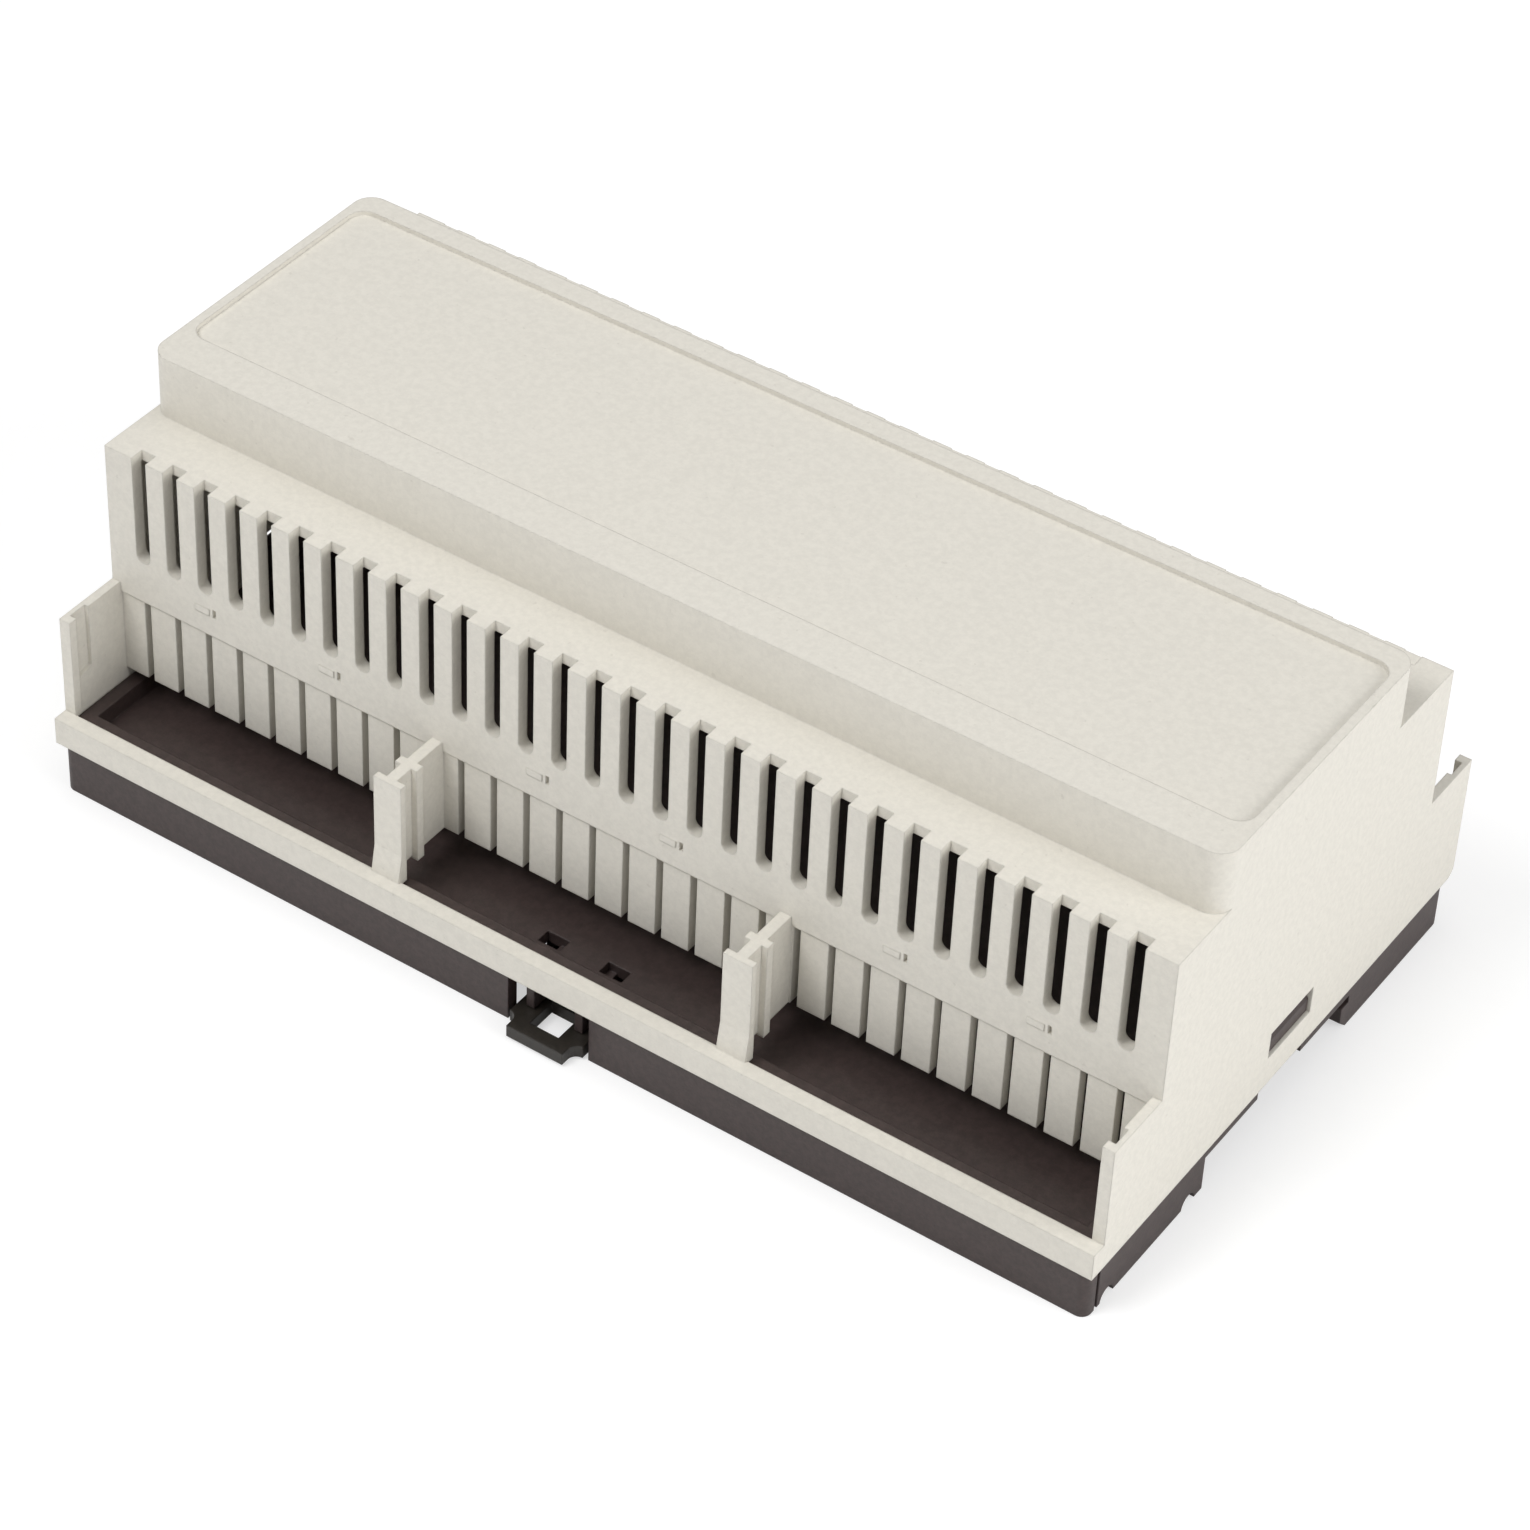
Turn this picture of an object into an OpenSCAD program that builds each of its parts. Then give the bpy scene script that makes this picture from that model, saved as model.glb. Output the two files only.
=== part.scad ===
// Nine-module rail enclosure: a tray-shaped base, a vented cover that snaps over it, and a sliding
// rail clip. The origin is the middle of the rail seat: X along the rail, Y across it towards the
// fixed hooks, Z away from the rail. Heights are given above the foot of the base.

/* [Case] */
// Length of the cover along the rail
case_len = 158.4; // [120:0.1:200]
// Height from the foot of the base to the label face
case_h = 58; // [55:0.5:70]
// Distance from the middle to the face of the front rim
rim_reach = 45; // [44.4:0.1:50]
// Distance from the middle to the outer face of the posts, front and rear
post_reach = 42.8; // [40:0.1:43.6]
// Width of the raised block, across the rail
block_w = 44.6; // [40:0.2:48]
// How far the raised block lies in front of the middle
block_ahead = 0.9; // [0:0.1:2]
// Width over the two vent walls
vent_w = 64.8; // [58:0.2:68]
// Height of the shoulders beside the raised block
shoulder_h = 48.7; // [44:0.1:50]
// Height of the end walls and dividers beside the terminals
post_h = 27.1; // [25:0.1:28]
// Height of the cover's lower edge
cover_foot = 7.7; // [7:0.1:9]
// Height of the rim bars along the cover's lower edges
rim_h = 4.1; // [3:0.1:6]
// Thickness of the rim bars
rim_t = 2.2; // [1.6:0.1:3]

/* [Cover walls] */
// Thickness of the vent walls
wall = 1.9; // [1.2:0.1:2.4]
// Thickness of the end walls
end_t = 1.3; // [1.2:0.1:2.4]
// Thickness of the shoulders
shoulder_t = 1.6; // [1.2:0.1:2.4]
// Thickness of the raised block's side walls
block_t = 2; // [1.4:0.1:3]
// Thickness of the label face
top_t = 2.4; // [1.6:0.1:4]
// Radius of the raised block's upright corners
block_r = 2.8; // [2.2:0.1:5]
// Radius of the cover's lower rear corners, seen from the end
heel_r = 1.6; // [0.6:0.1:1.8]

/* [Label recess] */
// Margin round the recess at the ends
label_end = 1.3; // [1:0.1:6]
// Margin along the front of the recess
label_front = 6.2; // [3:0.1:10]
// Margin along the rear of the recess
label_rear = 3.2; // [3:0.1:10]
// Depth of the recess
label_depth = 0.7; // [0.2:0.1:1]
// Corner radius of the recess
label_r = 2.5; // [1:0.1:5]

/* [Vents and break-off slats] */
// Pitch of the slots, and of the terminals
slot_pitch = 5.08; // [5:0.01:10]
// Width of a slot
slot_w = 2.3; // [1.5:0.1:3]
// Height of the bottom of the slots
slot_foot = 32.1; // [31.5:0.1:36]
// How far the slots run back past the wall, into the shoulder
slot_bite = 0.2; // [0:0.1:2]
// Least solid wall beside the last slot
slot_margin = 4; // [3:0.1:8]
// Width of the cuts between the slats
slat_gap = 1; // [0.5:0.1:1.5]
// Height of the top of the slats
slat_top = 25.6; // [20:0.1:26.6]
// Height of the free ends of the slats
slat_foot = 12.6; // [12.4:0.1:16]
// How far the slats lie back from the wall
slat_inset = 0.3; // [0.1:0.05:0.5]

/* [Posts] */
// Width of a divider's front flange
flange_w = 4.3; // [3.6:0.1:6]
// Thickness of the flanges
flange_t = 1.3; // [1:0.1:2]
// Thickness of a divider's web
web_t = 1.6; // [1.2:0.1:2.4]
// Width over a divider's guide ribs
guide_w = 3.4; // [2.6:0.1:5]
// Thickness of the guide ribs
guide_t = 1.3; // [1:0.1:2]
// Groove between a flange and its guide ribs
guide_gap = 2.8; // [2:0.1:3.4]
// Height of the lower ends of the guide ribs
guide_foot = 12.2; // [11.5:0.1:16]
// How far a divider's flange lies behind the face of the posts
flange_back = 0.3; // [0:0.1:0.6]
// How far a divider's foot reaches over the front rim
foot_out = 0.4; // [0.2:0.1:1]
// Height over which a divider's foot slopes outwards
foot_h = 4; // [2:0.1:5]
// How far an end wall's flange stands in from the wall
lip_in = 0.4; // [0.2:0.1:1]
// Depth of the groove in an end wall
end_groove = 0.6; // [0.3:0.1:0.8]
// Height of the bottom of that groove, beside the guide
ledge_h = 17.4; // [14:0.1:20]
// How much the groove's bottom falls towards the flange
ledge_drop = 0.8; // [0.2:0.1:2]
// Clearance of the dividers above the base
foot_gap = 0.3; // [0.1:0.1:0.6]

/* [Catches] */
// Width of the pad beside a terminal cover's catch
pad_w = 2.4; // [1:0.1:3]
// Height of the pad
pad_h = 1; // [0.6:0.1:2]
// How far the pad stands proud
pad_t = 0.15; // [0.1:0.05:0.3]
// Width of the catch's notch
notch_w = 0.5; // [0.3:0.1:1]
// Height of the notch
notch_h = 1.3; // [0.8:0.1:2]
// Depth of the notch
notch_depth = 0.6; // [0.2:0.1:0.8]
// Height of the middle of a catch
catch_mid = 29.4; // [27.4:0.1:30.5]
// Distance between the two catches of a compartment
catch_span = 20.2; // [10:0.1:30]

/* [End windows] */
// Width of the snap window in each end wall
window_w = 10.2; // [6:0.1:16]
// Height of the snap window
window_h = 4.2; // [3:0.1:6]
// Height of the foot of the snap window
window_foot = 12.4; // [11:0.1:15]
// Clearance between the base's snap tabs and the cover
snap_gap = 0.2; // [0.1:0.05:0.4]
// Thickness of a snap tab
tab_t = 1.5; // [1:0.1:2.5]
// How far a snap nub enters its window
nub_t = 0.9; // [0.5:0.1:1.3]

/* [Base] */
// Height of the floor's upper face
floor_h = 8.4; // [8:0.1:10]
// Height of the upstand round the floor
upstand_h = 11; // [10:0.1:11.4]
// Thickness of the upstand
upstand_t = 2; // [1:0.1:2.2]
// Inset of the base behind the cover's end faces
base_end = 0.6; // [0.2:0.1:1.5]
// Inset of the base's front wall behind the rim
base_front = 0.6; // [0.2:0.1:1.2]
// Inset of the base's rear wall behind the cover
base_rear = 0.7; // [0.2:0.1:1.2]
// Radius of the base's upright corners
base_r = 1.4; // [1:0.1:2]
// Thickness of the base's outer walls
skirt_t = 1.8; // [1.2:0.1:2.4]
// Thickness of the ribs under the floor
rib_t = 1.2; // [0.8:0.1:2]
// Greatest spacing of the ribs under the floor
rib_pitch = 15; // [10:0.5:16]
// Height of the lower edges of the ribs
rib_foot = 1.6; // [0.8:0.1:3]
// Radius of the notches in the base's lower end edges
notch_r = 1.5; // [0.8:0.1:1.8]
// Width of the upright groove beside the base's front corners
groove_w = 0.6; // [0.4:0.1:1.2]
// Depth of that groove
groove_depth = 0.4; // [0.3:0.1:0.8]
// Length of the two square holes in the floor
hole_l = 3.4; // [2:0.1:4]
// Width of the square holes
hole_w = 2.1; // [1.5:0.1:3]
// Distance between the middles of the square holes
hole_span = 9.4; // [8:0.1:12]
// Distance of the square holes in front of the vent wall
hole_ahead = 4.5; // [3:0.1:6]

/* [Rail channel] */
// Width of the top-hat rail
rail_w = 35; // [34:0.5:36]
// Thickness of the rail's flanges
rail_t = 1; // [0.8:0.1:1.5]
// Clearance round the rail
rail_gap = 0.2; // [0.1:0.05:0.4]
// Depth of the rail seat above the foot of the base
seat_depth = 5.2; // [5:0.1:6]
// Width of each strip that the rail seats on
seat_w = 12.4; // [8:0.1:14]
// Depth of the relief between the seat strips
relief = 1.4; // [0.8:0.1:1.6]
// How far the hooks and the clip's nose reach behind the rail's flange
hook_reach = 1.6; // [1:0.1:2.2]

/* [Rail clip] */
// Width of the clip's pull tab
tab_w = 8.6; // [7:0.1:11]
// How far the tab stands out in front of the base
tab_out = 2.9; // [2:0.1:5]
// Thickness of the clip's plate
clip_t = 1.8; // [1.4:0.1:2.2]
// Height of the clip above the foot of the base
clip_lift = 0.3; // [0.2:0.1:0.6]
// Width of the clip's slide inside the base
slide_w = 14.4; // [13.4:0.1:16]
// Width of the opening in the base's front wall
mouth_w = 12.4; // [11.6:0.1:13]
// Travel of the clip from latched to open
clip_travel = 3.5; // [3:0.1:4.5]
// Running clearance round the clip
clip_gap = 0.3; // [0.2:0.05:0.4]
// Length of the tool hole, along the rail
tool_w = 4.4; // [3:0.1:5]
// Width of the tool hole, across the rail
tool_l = 4.6; // [3:0.1:6]
// Solid bar in front of the tool hole
tool_bar = 2.1; // [1.5:0.1:3]
// Length of the lips that carry the clip's wings
lip_l = 7; // [4:0.5:9]
// Thickness of the clip's spring arms
arm_t = 1; // [0.8:0.1:1.4]
// Length of the clip's spring arms
arm_l = 9; // [6:0.5:12]

/* [Hidden] */
$fn = 48;
cut = 1; // how far a cutter runs past a face

// Heights from the rail seat
foot_z = -seat_depth;
edge_z = foot_z + cover_foot;
rim_z = edge_z + rim_h;
post_z = foot_z + post_h;
shoulder_z = foot_z + shoulder_h;
top_z = foot_z + case_h;
floor_z = foot_z + floor_h;
upstand_z = foot_z + upstand_h;

// Cover
half_len = case_len / 2;
block_front = block_w / 2 + block_ahead;
block_rear = block_w / 2 - block_ahead;
vent_y = vent_w / 2;
inner_len = case_len - 2 * end_t;
slot_count = floor((case_len - 2 * slot_margin - slot_w) / slot_pitch) + 1;
divider_x = case_len / 6;
web_y = post_reach - flange_t;
guide_y = web_y - guide_gap;
bay_w = case_len / 3;

// Base
base_len = case_len - 2 * base_end;
base_y0 = -rim_reach + base_front;
base_y1 = post_reach - base_rear;
ceiling_z = relief;
rail_y = rail_w / 2 + rail_gap / 2;
hook_z = -rail_t - rail_gap;
hook_y = rail_w / 2 - hook_reach;

// Clip
clip_z = foot_z + clip_lift;
tab_y = base_y0 - tab_out;
slide_y0 = base_y0 + skirt_t + clip_travel + clip_gap;
slide_y1 = -rail_y - skirt_t - clip_gap;
bay_x = slide_w / 2 + clip_gap;
nose_y = -rail_w / 2 + hook_reach;
wing_t = clip_t / 2;
arm_x = slide_w / 2 + 3.2;
pocket_x = arm_x + arm_t + clip_gap + 1;

function slot_x(i) = (i - (slot_count - 1) / 2) * slot_pitch;

// Runs a profile, drawn as (across, up), along the rail
module along(len) {
  rotate([90, 0, 90]) linear_extrude(len, center = true) children();
}

// A box from two opposite corners
module block(from, to) {
  translate(from) cube(to - from);
}

module rounded_rect(w, d, r) {
  square([w - 2 * r, d], center = true);
  square([w, d - 2 * r], center = true);
  for (x = [-1, 1], y = [-1, 1])
    translate([x * (w / 2 - r), y * (d / 2 - r)]) circle(r);
}

// A rectangle from y0 to y1 with rounded corners
module rounded_span(w, y0, y1, r) {
  translate([0, (y0 + y1) / 2]) rounded_rect(w, y1 - y0, r);
}

// Repeats its children on the front and, mirrored, on the rear
module both_sides() {
  children();
  mirror([0, 1, 0]) children();
}

module both_ends() {
  children();
  mirror([1, 0, 0]) children();
}

// ---- Cover ----

module end_profile() {
  heel_y = post_reach - heel_r;
  heel_z = edge_z + heel_r;
  translate([-vent_y, edge_z]) square([vent_w, shoulder_z - edge_z]);
  translate([-post_reach, edge_z]) square([post_reach + heel_y, post_z - edge_z]);
  translate([0, heel_z]) square([post_reach, post_z - heel_z]);
  translate([heel_y, heel_z]) circle(heel_r);
  translate([-rim_reach, edge_z]) square([rim_reach, rim_h]);
}

// An end wall, with a flange and a groove for a terminal cover at each side
module end_wall() {
  inner = half_len - end_t;
  difference() {
    translate([half_len - end_t / 2, 0, 0]) along(end_t) end_profile();
    both_sides() translate([inner + (end_groove - cut) / 2, 0, 0]) along(end_groove + cut)
      polygon([[-web_y, post_z + cut], [-guide_y, post_z + cut], [-guide_y, foot_z + ledge_h],
               [-web_y, foot_z + ledge_h - ledge_drop]]);
  }
  both_sides()
    block([inner - lip_in, -post_reach, upstand_z + foot_gap], [inner + end_t / 2, -web_y, post_z]);
}

// Wall with its slots and slats, drawn as (along, up)
module vent_profile() {
  difference() {
    translate([-inner_len / 2 - end_t / 2, foot_z + slat_foot])
      square([inner_len + end_t, shoulder_z - foot_z - slat_foot]);
    for (i = [0 : slot_count - 1]) translate([slot_x(i), 0]) {
      translate([0, foot_z + slot_foot + slot_w / 2]) circle(slot_w / 2);
      translate([-slot_w / 2, foot_z + slot_foot + slot_w / 2]) square([slot_w, case_h]);
      translate([-slat_gap / 2, 0]) square([slat_gap, foot_z + slat_top]);
      translate([-slat_gap / 2, foot_z]) square([slat_gap, seat_depth]);
    }
  }
}

module vent_wall() {
  difference() {
    translate([0, -vent_y + wall, 0]) rotate([90, 0, 0]) linear_extrude(wall) vent_profile();
    block([-inner_len / 2, -vent_y - cut, foot_z], [inner_len / 2, -vent_y + slat_inset, foot_z + slat_top]);
    at_catches() block([notch_w, -cut, -notch_h / 2], [2 * notch_w, notch_depth, notch_h / 2]);
  }
  at_catches() block([-pad_w, -pad_t, -pad_h / 2], [0, wall / 2, pad_h / 2]);
}

// Places its children at the two catches over each compartment
module at_catches() {
  for (x = [-bay_w, 0, bay_w], s = [-1, 1])
    translate([x + s * catch_span / 2, -vent_y, foot_z + catch_mid]) children();
}

// Shoulder plate from the vent wall to the block's wall, with the upper ends of the slots
module shoulder(block_side) {
  translate([0, 0, shoulder_z - shoulder_t]) linear_extrude(shoulder_t) difference() {
    translate([-inner_len / 2 - end_t / 2, -vent_y])
      square([inner_len + end_t, vent_y - block_side + block_t]);
    for (i = [0 : slot_count - 1])
      translate([slot_x(i) - slot_w / 2, -vent_y - cut]) square([slot_w, wall + slot_bite + cut]);
  }
}

module raised_block() {
  low_z = shoulder_z - shoulder_t;
  difference() {
    translate([0, 0, low_z]) linear_extrude(top_z - low_z)
      rounded_span(case_len, -block_front, block_rear, block_r);
    translate([0, 0, low_z - cut]) linear_extrude(top_z - top_t - low_z + cut)
      rounded_span(case_len - 2 * block_t, -block_front + block_t, block_rear - block_t,
                   max(0.2, block_r - block_t));
    translate([0, 0, top_z - label_depth]) linear_extrude(label_depth + cut)
      rounded_span(case_len - 2 * label_end, -block_front + label_front, block_rear - label_rear,
                   label_r);
  }
}

// A divider between two terminal bays: a T post, a web and a pair of guide ribs
module divider(foot_out) {
  low_z = upstand_z + foot_gap;
  face_y = post_reach - flange_back;
  foot_y = post_reach + foot_out;
  along(flange_w)
    polygon([[-face_y, post_z], [-web_y, post_z], [-web_y, low_z], [-foot_y, low_z],
             [-foot_y, rim_z], [-face_y, rim_z + foot_h]]);
  block([-web_t / 2, -web_y - flange_t / 4, foot_z + slat_foot], [web_t / 2, -vent_y + wall, post_z]);
  block([-guide_w / 2, -guide_y, foot_z + guide_foot], [guide_w / 2, -guide_y + guide_t, post_z]);
}

module front_rim() {
  block([-half_len + end_t / 2, -rim_reach, edge_z], [half_len - end_t / 2, -post_reach, rim_z]);
}

// The rear rim lies flush with the posts and has a rounded heel
module rear_rim() {
  half = half_len - end_t / 2;
  heel_y = post_reach - heel_r;
  difference() {
    block([-half, post_reach - rim_t, edge_z], [half, post_reach, rim_z]);
    along(case_len) difference() {
      translate([heel_y, edge_z - cut]) square(heel_r + cut);
      translate([heel_y, edge_z + heel_r]) circle(heel_r);
    }
  }
}

module cover() color("#dcd9d0") {
  difference() {
    union() {
      both_ends() end_wall();
      both_sides() vent_wall();
      for (x = [-divider_x, divider_x]) translate([x, 0, 0]) {
        divider(foot_out);
        mirror([0, 1, 0]) divider(0);
      }
      shoulder(block_front);
      mirror([0, 1, 0]) shoulder(block_rear);
      raised_block();
      front_rim();
      rear_rim();
    }
    both_ends() block([half_len - end_t - cut, -window_w / 2, foot_z + window_foot],
                      [half_len + cut, window_w / 2, foot_z + window_foot + window_h]);
  }
}

// ---- Base ----

// The channel for the rail, drawn as (across, up), with the fixed lip along its rear edge
module channel_profile() {
  low = foot_z - cut;
  polygon([[-rail_y, low], [-rail_y, 0], [-rail_y + seat_w, 0], [-rail_y + seat_w, relief],
           [rail_y - seat_w, relief], [rail_y - seat_w, 0], [rail_y, 0], [rail_y, hook_z],
           [hook_y, hook_z], [hook_y, foot_z + hook_reach], [rail_y, foot_z], [rail_y, low]]);
}

// A hollow under the floor between two planes across the rail, with ribs left in it
module hollow(y0, y1) {
  count = ceil(base_len / rib_pitch);
  step = (base_len - 2 * skirt_t + rib_t) / count;
  for (i = [0 : count - 1]) {
    x0 = -base_len / 2 + skirt_t + i * step;
    block([x0, y0, foot_z + rib_foot], [x0 + step - rib_t, y1, ceiling_z]);
  }
  block([-base_len / 2 + skirt_t, y0, foot_z - cut], [base_len / 2 - skirt_t, y1, foot_z + rib_foot]);
}

// The bay in which the clip and its spring arms move
module clip_bay() {
  y0 = base_y0 + skirt_t;
  block([-pocket_x, y0, foot_z - cut], [pocket_x, -rail_y - skirt_t, ceiling_z]);
  block([-mouth_w / 2, base_y0 - cut, foot_z - cut], [mouth_w / 2, y0 + cut, edge_z + cut]);
  block([-bay_x, -rail_y - skirt_t - cut, foot_z - cut], [bay_x, -rail_y + cut, 0]);
}

// Walls and lips that carry the clip, on one side of it
module clip_guide() {
  y0 = base_y0 + skirt_t - cut / 2;
  y1 = -rail_y - skirt_t + cut / 2;
  lip_top = clip_z + clip_t - wing_t - clip_gap;
  // pocket's outer wall
  block([pocket_x, y0, foot_z], [pocket_x + rib_t, y1, ceiling_z + cut / 2]);
  // guide wall beside the slide, with the lip that the wing rides on
  lip_y = slide_y1 - clip_travel - hook_reach - rib_t;
  block([bay_x, lip_y - lip_l, foot_z], [bay_x + rib_t, y1, ceiling_z + cut / 2]);
  block([tab_w / 2 + clip_gap, lip_y - lip_l, foot_z], [bay_x + rib_t, lip_y, lip_top]);
  // rib that holds the slide down
  block([tab_w / 2 - rib_t, y0, clip_z + clip_t + clip_gap],
        [tab_w / 2, lip_y, ceiling_z + cut / 2]);
}

// The floor inside the cover, with the upstand round it
module tray() {
  x1 = inner_len / 2 - snap_gap;
  y0 = -rim_reach + rim_t + snap_gap;
  y1 = post_reach - rim_t - snap_gap;
  difference() {
    block([-x1, y0, edge_z - cut / 2], [x1, y1, upstand_z]);
    block([-x1 + upstand_t, y0 + upstand_t, floor_z], [x1 - upstand_t, y1 - upstand_t, upstand_z + cut]);
  }
}

// Tab that snaps into a window of the cover
module snap_tab() {
  face_x = half_len - end_t - snap_gap;
  nub_z = foot_z + window_foot + snap_gap;
  nub_h = window_h - 2 * snap_gap;
  block([face_x - tab_t, -window_w / 2 - 1, floor_z - cut / 2],
        [face_x, window_w / 2 + 1, nub_z + nub_h]);
  translate([face_x, window_w / 2 - snap_gap, nub_z]) rotate([90, 0, 0])
    linear_extrude(window_w - 2 * snap_gap)
      polygon([[-tab_t / 2, 0], [snap_gap + nub_t, 0], [snap_gap + nub_t, nub_h / 2],
               [0, nub_h], [-tab_t / 2, nub_h]]);
}

module base() color("#5f5652") {
  groove_y = base_y0 + base_r + groove_w;
  difference() {
    union() {
      translate([0, 0, foot_z]) linear_extrude(edge_z - foot_z)
        rounded_span(base_len, base_y0, base_y1, base_r);
      tray();
    }
    along(case_len + cut) channel_profile();
    hollow(base_y0 + skirt_t, -rail_y - skirt_t);
    hollow(rail_y + skirt_t, base_y1 - skirt_t);
    clip_bay();
    both_ends() {
      for (y = [base_y0 + skirt_t + 2 * notch_r, -rail_y - skirt_t - notch_r])
        translate([base_len / 2 - skirt_t - cut, y, foot_z]) rotate([0, 90, 0])
          cylinder(h = skirt_t + 2 * cut, r = notch_r);
      block([base_len / 2 - groove_depth, groove_y, foot_z - cut],
            [half_len, groove_y + groove_w, edge_z - groove_w]);
      translate([hole_span / 2, -vent_y - hole_ahead, floor_z])
        cube([hole_l, hole_w, floor_h], center = true);
    }
  }
  both_ends() {
    clip_guide();
    snap_tab();
  }
}

// ---- Rail clip ----

// Outline of the clip's plate, drawn as (along, across)
module clip_plate() {
  shoulder_r = 1.3;
  throat = mouth_w / 2 - clip_gap - 0.3;
  difference() {
    union() {
      translate([-tab_w / 2, tab_y]) square([tab_w, nose_y - tab_y]);
      translate([-throat, base_y0 - 0.4]) square([2 * throat, slide_y0 - base_y0 + 0.4]);
      for (s = [-1, 1]) difference() {
        translate([s * (tab_w / 2 + shoulder_r / 2), base_y0 - 0.4 - shoulder_r / 2])
          square(shoulder_r, center = true);
        translate([s * (tab_w / 2 + shoulder_r), base_y0 - 0.4 - shoulder_r]) circle(shoulder_r);
      }
    }
    translate([-tool_w / 2, tab_y + tool_bar]) square([tool_w, tool_l]);
  }
}

module rail_clip() color("#2c2a28") {
  wing_z = clip_z + clip_t - wing_t;
  translate([0, 0, clip_z]) linear_extrude(clip_t) clip_plate();
  // wings of the slide
  block([-slide_w / 2, slide_y0, wing_z], [slide_w / 2, slide_y1 - 0.6, clip_z + clip_t]);
  // nose that reaches behind the rail's flange, with its lead-in slope
  along(slide_w) polygon([[nose_y - 2.6, clip_z], [nose_y - hook_reach, clip_z], [nose_y, clip_z + 1.6],
                          [nose_y, hook_z], [nose_y - 2.6, hook_z]]);
  // spring arms
  both_ends() {
    block([slide_w / 2 - arm_t, slide_y0, wing_z], [arm_x + arm_t, slide_y0 + arm_t, clip_z + clip_t]);
    block([arm_x, slide_y0, wing_z], [arm_x + arm_t, slide_y0 + arm_l, clip_z + clip_t]);
  }
}

base();
cover();
rail_clip();
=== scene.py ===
import math

import bpy
from mathutils import Matrix, Vector


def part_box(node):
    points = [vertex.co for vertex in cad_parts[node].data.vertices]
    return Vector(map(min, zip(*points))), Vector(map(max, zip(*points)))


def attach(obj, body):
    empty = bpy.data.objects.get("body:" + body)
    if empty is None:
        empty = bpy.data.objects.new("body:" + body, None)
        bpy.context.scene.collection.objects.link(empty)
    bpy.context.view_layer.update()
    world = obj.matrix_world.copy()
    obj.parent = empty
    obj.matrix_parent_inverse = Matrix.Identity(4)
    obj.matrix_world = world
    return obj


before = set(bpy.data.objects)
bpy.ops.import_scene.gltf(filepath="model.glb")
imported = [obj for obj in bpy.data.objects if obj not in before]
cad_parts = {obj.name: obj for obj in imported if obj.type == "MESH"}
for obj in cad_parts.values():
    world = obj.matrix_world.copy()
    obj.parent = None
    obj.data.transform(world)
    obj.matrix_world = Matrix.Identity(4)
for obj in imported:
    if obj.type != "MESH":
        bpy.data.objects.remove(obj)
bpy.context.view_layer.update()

MM = 0.001
FOOT_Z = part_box("base")[0][2]

# Noise scales of the plastic, per metre, and the height of its grain in metres
CLOUD_SCALE = 28.0
SPECK_SCALE = 900.0
FLECK_SCALE = 1100.0
FINE_SCALE = 2600.0
COARSE_SCALE = 420.0
GRAIN_HEIGHT = 0.00006
SPECK_AMOUNT = 0.15

# Camera: turn about the object, height angle, roll and distance, with the lens and its shift
AZIMUTH, ELEVATION, ROLL = math.radians(33.03), math.radians(39.68), math.radians(2.69)
TARGET = Vector((-3.88, 5.33, 30.0 + FOOT_Z / MM)) * MM
DISTANCE = 0.62514
SENSOR = 36
FOCAL = 4912.55 / 1530 * SENSOR
SHIFT = (6.13 / 1530, -127.40 / 1530)

# Paper floor: its gap under the foot, its tone, and how much of it shines to the camera alone
FLOOR_GAP = 0.0001
FLOOR_TONE = (0.93, 0.93, 0.93, 1)
FLOOR_GLOW = 1.25
GLOW_SHARE = 0.45
ROOM_LIGHT = 0.34
WHITE = (1, 1, 1, 1)

# Bar along the rear shoulder: its two corners in mm above the foot, and its edge radius
BAR_LOW = (-77.0, 30.25, 47.1)
BAR_HIGH = (77.0, 32.38, 48.68)
BAR_EDGE = 0.0002


# ---- materials ----

def new_material(name):
    m = bpy.data.materials.new(name)
    m.use_nodes = True
    m.node_tree.nodes.clear()
    return m, m.node_tree.nodes, m.node_tree.links


def noise(nodes, links, coord, scale, detail, rough=0.5):
    """Noise texture on the object's own coordinates."""
    n = nodes.new("ShaderNodeTexNoise")
    n.inputs["Scale"].default_value = scale
    n.inputs["Detail"].default_value = detail
    n.inputs["Roughness"].default_value = rough
    links.new(coord, n.inputs["Vector"])
    return n


def ramp(nodes, links, value, stops):
    """Colour ramp in greys, with stops as (position, grey)."""
    r = nodes.new("ShaderNodeValToRGB")
    e = r.color_ramp.elements
    while len(e) < len(stops):
        e.new(0.5)
    for k, (pos, grey) in enumerate(stops):
        e[k].position = pos
        e[k].color = (grey, grey, grey, 1)
    links.new(value, r.inputs["Fac"])
    return r


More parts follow.
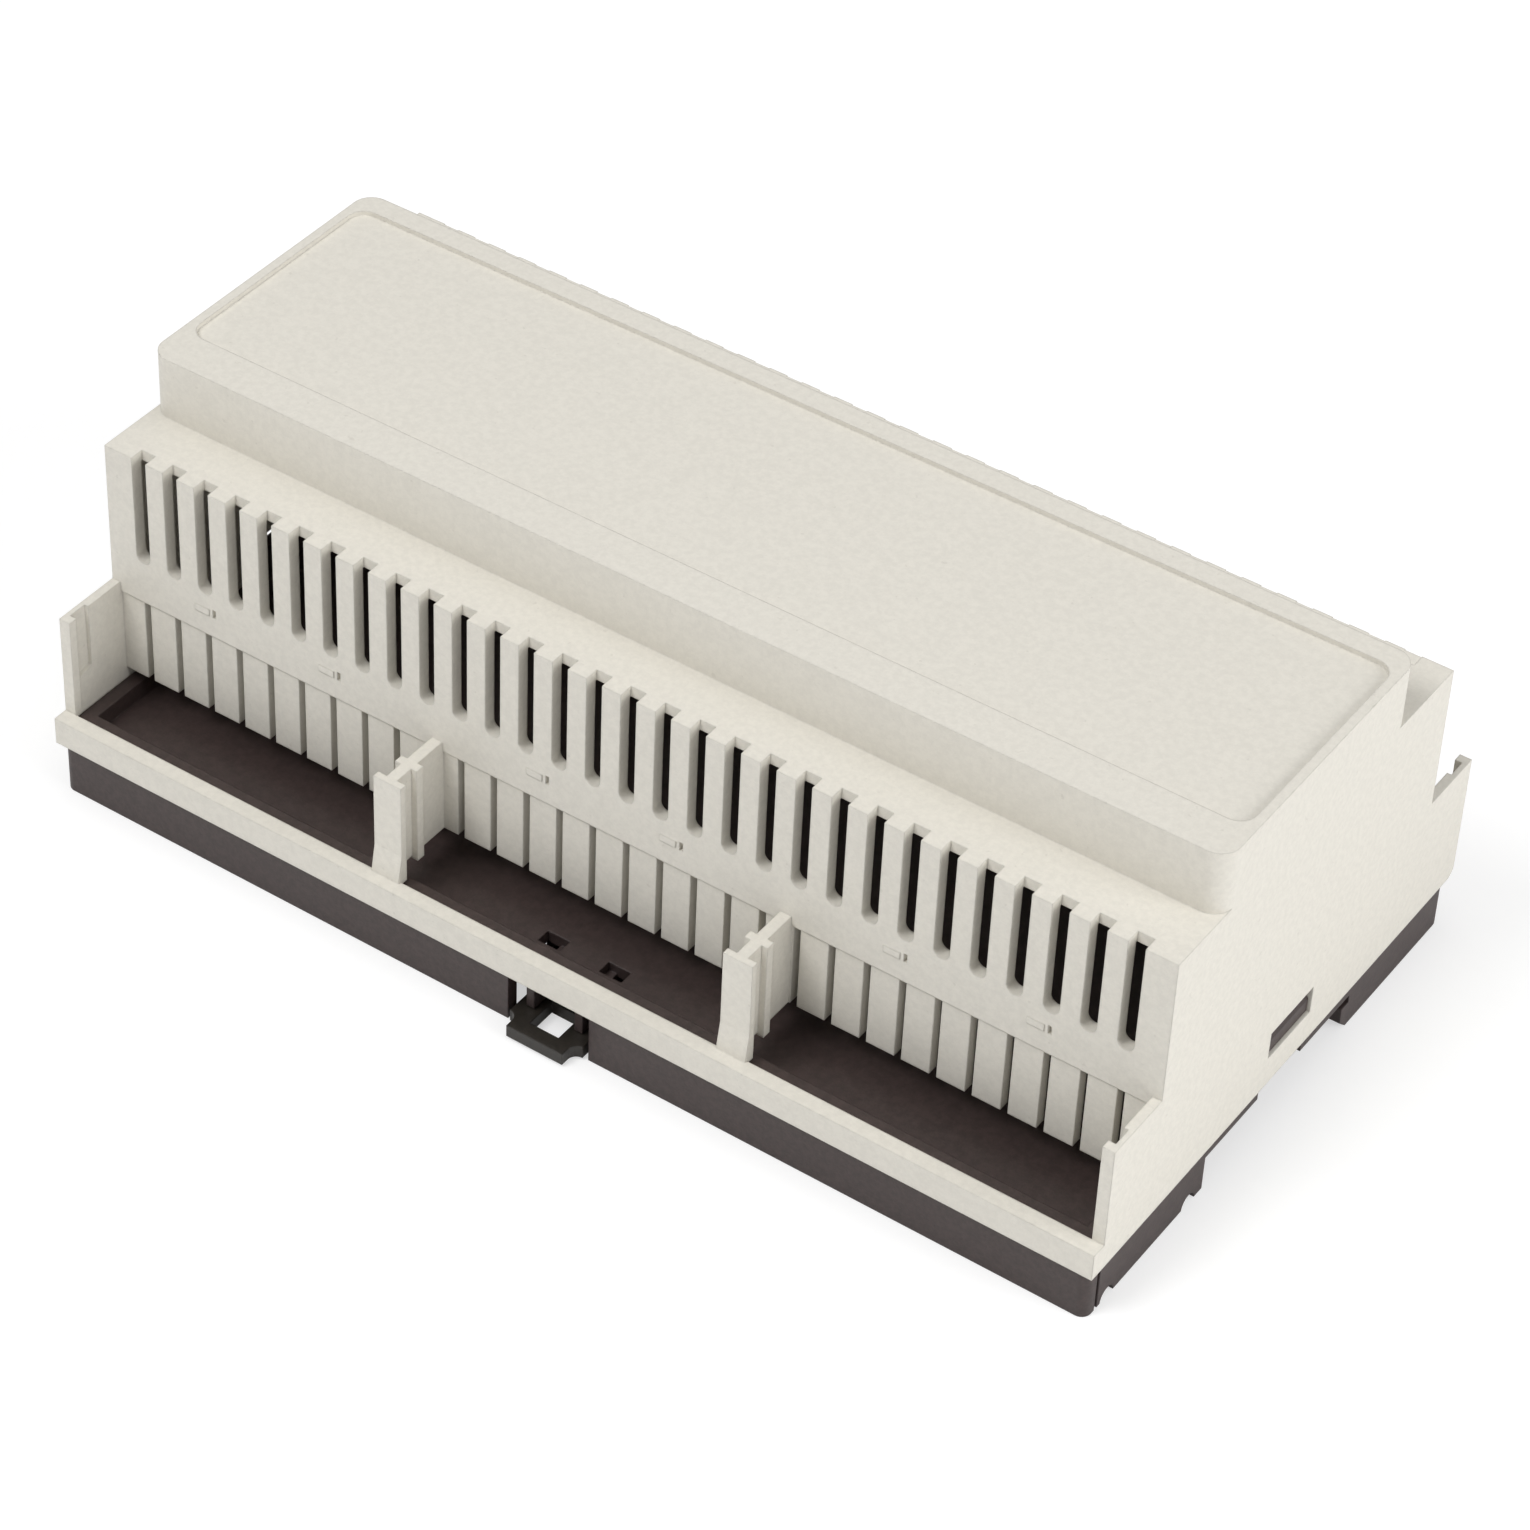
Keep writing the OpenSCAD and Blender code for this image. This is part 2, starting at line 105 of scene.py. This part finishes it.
def moulded_plastic(name, colour, dark, roughness, grain, edge, mottle):
    """Satin moulded plastic with fine grain, flecks, a few specks and soft edges.

    mottle is how dark the flecks are, as a share of the colour, and edge the radius of the edges.
    """
    m, nodes, links = new_material(name)
    out = nodes.new("ShaderNodeOutputMaterial")
    bsdf = nodes.new("ShaderNodeBsdfPrincipled")
    links.new(bsdf.outputs["BSDF"], out.inputs["Surface"])
    coord = nodes.new("ShaderNodeTexCoord").outputs["Object"]

    cloud = noise(nodes, links, coord, CLOUD_SCALE, 3.0)
    speck = noise(nodes, links, coord, SPECK_SCALE, 2.0)
    flecks = noise(nodes, links, coord, FLECK_SCALE, 5.0, 0.7)
    fleck_mask = ramp(nodes, links, flecks.outputs["Fac"], [(0.38, 0.0), (0.62, 1.0)])
    speck_mask = ramp(nodes, links, speck.outputs["Fac"], [(0.24, 1.0), (0.29, 0.0)])

    tint = nodes.new("ShaderNodeMix")
    tint.data_type = "RGBA"
    tint.inputs["A"].default_value = (*colour, 1)
    tint.inputs["B"].default_value = (*[c * mottle for c in colour], 1)
    links.new(fleck_mask.outputs["Color"], tint.inputs["Factor"])
    spot = nodes.new("ShaderNodeMix")
    spot.data_type = "RGBA"
    links.new(tint.outputs["Result"], spot.inputs["A"])
    spot.inputs["B"].default_value = (*dark, 1)
    amount = nodes.new("ShaderNodeMath")
    amount.operation = "MULTIPLY"
    amount.inputs[1].default_value = SPECK_AMOUNT
    links.new(speck_mask.outputs["Color"], amount.inputs[0])
    links.new(amount.outputs["Value"], spot.inputs["Factor"])
    links.new(spot.outputs["Result"], bsdf.inputs["Base Color"])

    fine = noise(nodes, links, coord, FINE_SCALE, 2.0)
    coarse = noise(nodes, links, coord, COARSE_SCALE, 2.0)
    mix = nodes.new("ShaderNodeMath")
    mix.operation = "MULTIPLY_ADD"
    mix.inputs[1].default_value = 0.5
    links.new(coarse.outputs["Fac"], mix.inputs[0])
    links.new(fine.outputs["Fac"], mix.inputs[2])
    bevel = nodes.new("ShaderNodeBevel")
    bevel.samples = 4
    bevel.inputs["Radius"].default_value = edge
    bump = nodes.new("ShaderNodeBump")
    bump.inputs["Strength"].default_value = grain
    bump.inputs["Distance"].default_value = GRAIN_HEIGHT
    links.new(mix.outputs["Value"], bump.inputs["Height"])
    links.new(bevel.outputs["Normal"], bump.inputs["Normal"])
    links.new(bump.outputs["Normal"], bsdf.inputs["Normal"])

    rough = nodes.new("ShaderNodeMapRange")
    rough.inputs["To Min"].default_value = roughness - 0.05
    rough.inputs["To Max"].default_value = roughness + 0.07
    links.new(cloud.outputs["Fac"], rough.inputs["Value"])
    links.new(rough.outputs["Result"], bsdf.inputs["Roughness"])
    bsdf.inputs["Specular IOR Level"].default_value = 0.5
    return m


def srgb(r, g, b):
    """Linear colour from display values of 0 to 255."""
    def lin(v):
        v /= 255
        return v / 12.92 if v <= 0.04045 else ((v + 0.055) / 1.055) ** 2.4
    return tuple(lin(v) for v in (r, g, b))


light_grey = moulded_plastic(
    "light_grey_moulding", srgb(224, 220, 210), srgb(150, 142, 130),
    roughness=0.48, grain=0.22, edge=0.00030, mottle=0.93)
brown_grey = moulded_plastic(
    "brown_grey_moulding", srgb(66, 54, 52), srgb(40, 35, 33),
    roughness=0.42, grain=0.30, edge=0.00030, mottle=0.72)
black_clip = moulded_plastic(
    "black_clip_moulding", srgb(48, 44, 39), srgb(20, 19, 18),
    roughness=0.40, grain=0.30, edge=0.00025, mottle=0.75)


def dress(node, material):
    """Gives a CAD node its one material."""
    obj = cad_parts[node]
    obj.data.materials.clear()
    obj.data.materials.append(material)


dress("cover", light_grey)
dress("base", brown_grey)
dress("rail_clip", black_clip)


# ---- rear edge of the shoulder ----

def add_rear_edge():
    """Bar that closes the tops of the rear slots, flush with the shoulder's edge."""
    foot = Vector((0, 0, FOOT_Z))
    lo = Vector(BAR_LOW) * MM + foot
    hi = Vector(BAR_HIGH) * MM + foot
    bpy.ops.object.select_all(action="DESELECT")
    bpy.ops.mesh.primitive_cube_add(size=1)
    bar = bpy.context.object
    bar.name = "rear_shoulder_edge"
    bpy.ops.object.mode_set(mode="EDIT")
    bpy.ops.mesh.select_all(action="SELECT")
    bpy.ops.transform.resize(value=hi - lo)
    bpy.ops.transform.translate(value=(hi + lo) / 2)
    bpy.ops.mesh.bevel(offset=BAR_EDGE, segments=2, affect="EDGES")
    bpy.ops.object.mode_set(mode="OBJECT")
    bar.data.materials.append(light_grey)
    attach(bar, "housing")


add_rear_edge()


# ---- camera ----

right = Vector((math.cos(AZIMUTH), math.sin(AZIMUTH), 0))
back = Vector((
    math.sin(AZIMUTH) * math.cos(ELEVATION),
    -math.cos(AZIMUTH) * math.cos(ELEVATION),
    math.sin(ELEVATION)))
up = back.cross(right)
cam_x = right * math.cos(ROLL) + up * math.sin(ROLL)
cam_y = -right * math.sin(ROLL) + up * math.cos(ROLL)
place = TARGET + back * DISTANCE
cam = bpy.data.objects.new("camera", bpy.data.cameras.new("camera"))
bpy.context.scene.collection.objects.link(cam)
cam.data.sensor_width = SENSOR
cam.data.lens = FOCAL
cam.data.shift_x, cam.data.shift_y = SHIFT
cam.data.clip_end = 10
cam.matrix_world = Matrix((
    (cam_x.x, cam_y.x, back.x, place.x),
    (cam_x.y, cam_y.y, back.y, place.y),
    (cam_x.z, cam_y.z, back.z, place.z),
    (0, 0, 0, 1)))
bpy.context.scene.camera = cam


# ---- floor, lamps, world ----

def add_floor():
    """White paper under the foot. It is lit by the lamps and a little brighter to the camera."""
    bpy.ops.object.select_all(action="DESELECT")
    bpy.ops.mesh.primitive_plane_add(size=6, location=(0, 0, FOOT_Z - FLOOR_GAP))
    floor = bpy.context.object
    floor.name = "floor"
    m, nodes, links = new_material("white_paper")
    out = nodes.new("ShaderNodeOutputMaterial")
    diffuse = nodes.new("ShaderNodeBsdfDiffuse")
    diffuse.inputs["Color"].default_value = FLOOR_TONE
    glow = nodes.new("ShaderNodeEmission")
    glow.inputs["Color"].default_value = WHITE
    glow.inputs["Strength"].default_value = FLOOR_GLOW
    seen_from = nodes.new("ShaderNodeLightPath")
    share = nodes.new("ShaderNodeMath")
    share.operation = "MULTIPLY"
    share.inputs[1].default_value = GLOW_SHARE
    blend = nodes.new("ShaderNodeMixShader")
    links.new(seen_from.outputs["Is Camera Ray"], share.inputs[0])
    links.new(share.outputs["Value"], blend.inputs["Fac"])
    links.new(diffuse.outputs["BSDF"], blend.inputs[1])
    links.new(glow.outputs["Emission"], blend.inputs[2])
    links.new(blend.outputs["Shader"], out.inputs["Surface"])
    floor.data.materials.append(m)


def add_lamp(name, azimuth, elevation, distance, size, power):
    """Round soft lamp in degrees, metres and watts, pointed at the origin."""
    a, e = math.radians(azimuth), math.radians(elevation)
    d = Vector((math.sin(a) * math.cos(e), -math.cos(a) * math.cos(e), math.sin(e)))
    data = bpy.data.lights.new(name, "AREA")
    data.shape = "DISK"
    data.size = size
    data.energy = power
    lamp = bpy.data.objects.new(name, data)
    bpy.context.scene.collection.objects.link(lamp)
    lamp.location = d * distance
    lamp.rotation_euler = d.to_track_quat("Z", "Y").to_euler()


add_floor()
add_lamp("key", -25, 55, 1.6, 0.7, 11.6)
add_lamp("side", 95, 25, 1.6, 1.0, 13.2)
add_lamp("top", 10, 88, 1.6, 1.2, 4.0)

world = bpy.data.worlds.new("studio")
bpy.context.scene.world = world
world.use_nodes = True
wn, wl = world.node_tree.nodes, world.node_tree.links
wn.clear()
w_out = wn.new("ShaderNodeOutputWorld")
room = wn.new("ShaderNodeBackground")
room.inputs["Color"].default_value = WHITE
room.inputs["Strength"].default_value = ROOM_LIGHT
seen = wn.new("ShaderNodeBackground")
seen.inputs["Color"].default_value = WHITE
seen.inputs["Strength"].default_value = 1.0
path = wn.new("ShaderNodeLightPath")
pick = wn.new("ShaderNodeMixShader")
wl.new(path.outputs["Is Camera Ray"], pick.inputs["Fac"])
wl.new(room.outputs["Background"], pick.inputs[1])
wl.new(seen.outputs["Background"], pick.inputs[2])
wl.new(pick.outputs["Shader"], w_out.inputs["Surface"])

bpy.context.scene.view_settings.view_transform = "Standard"
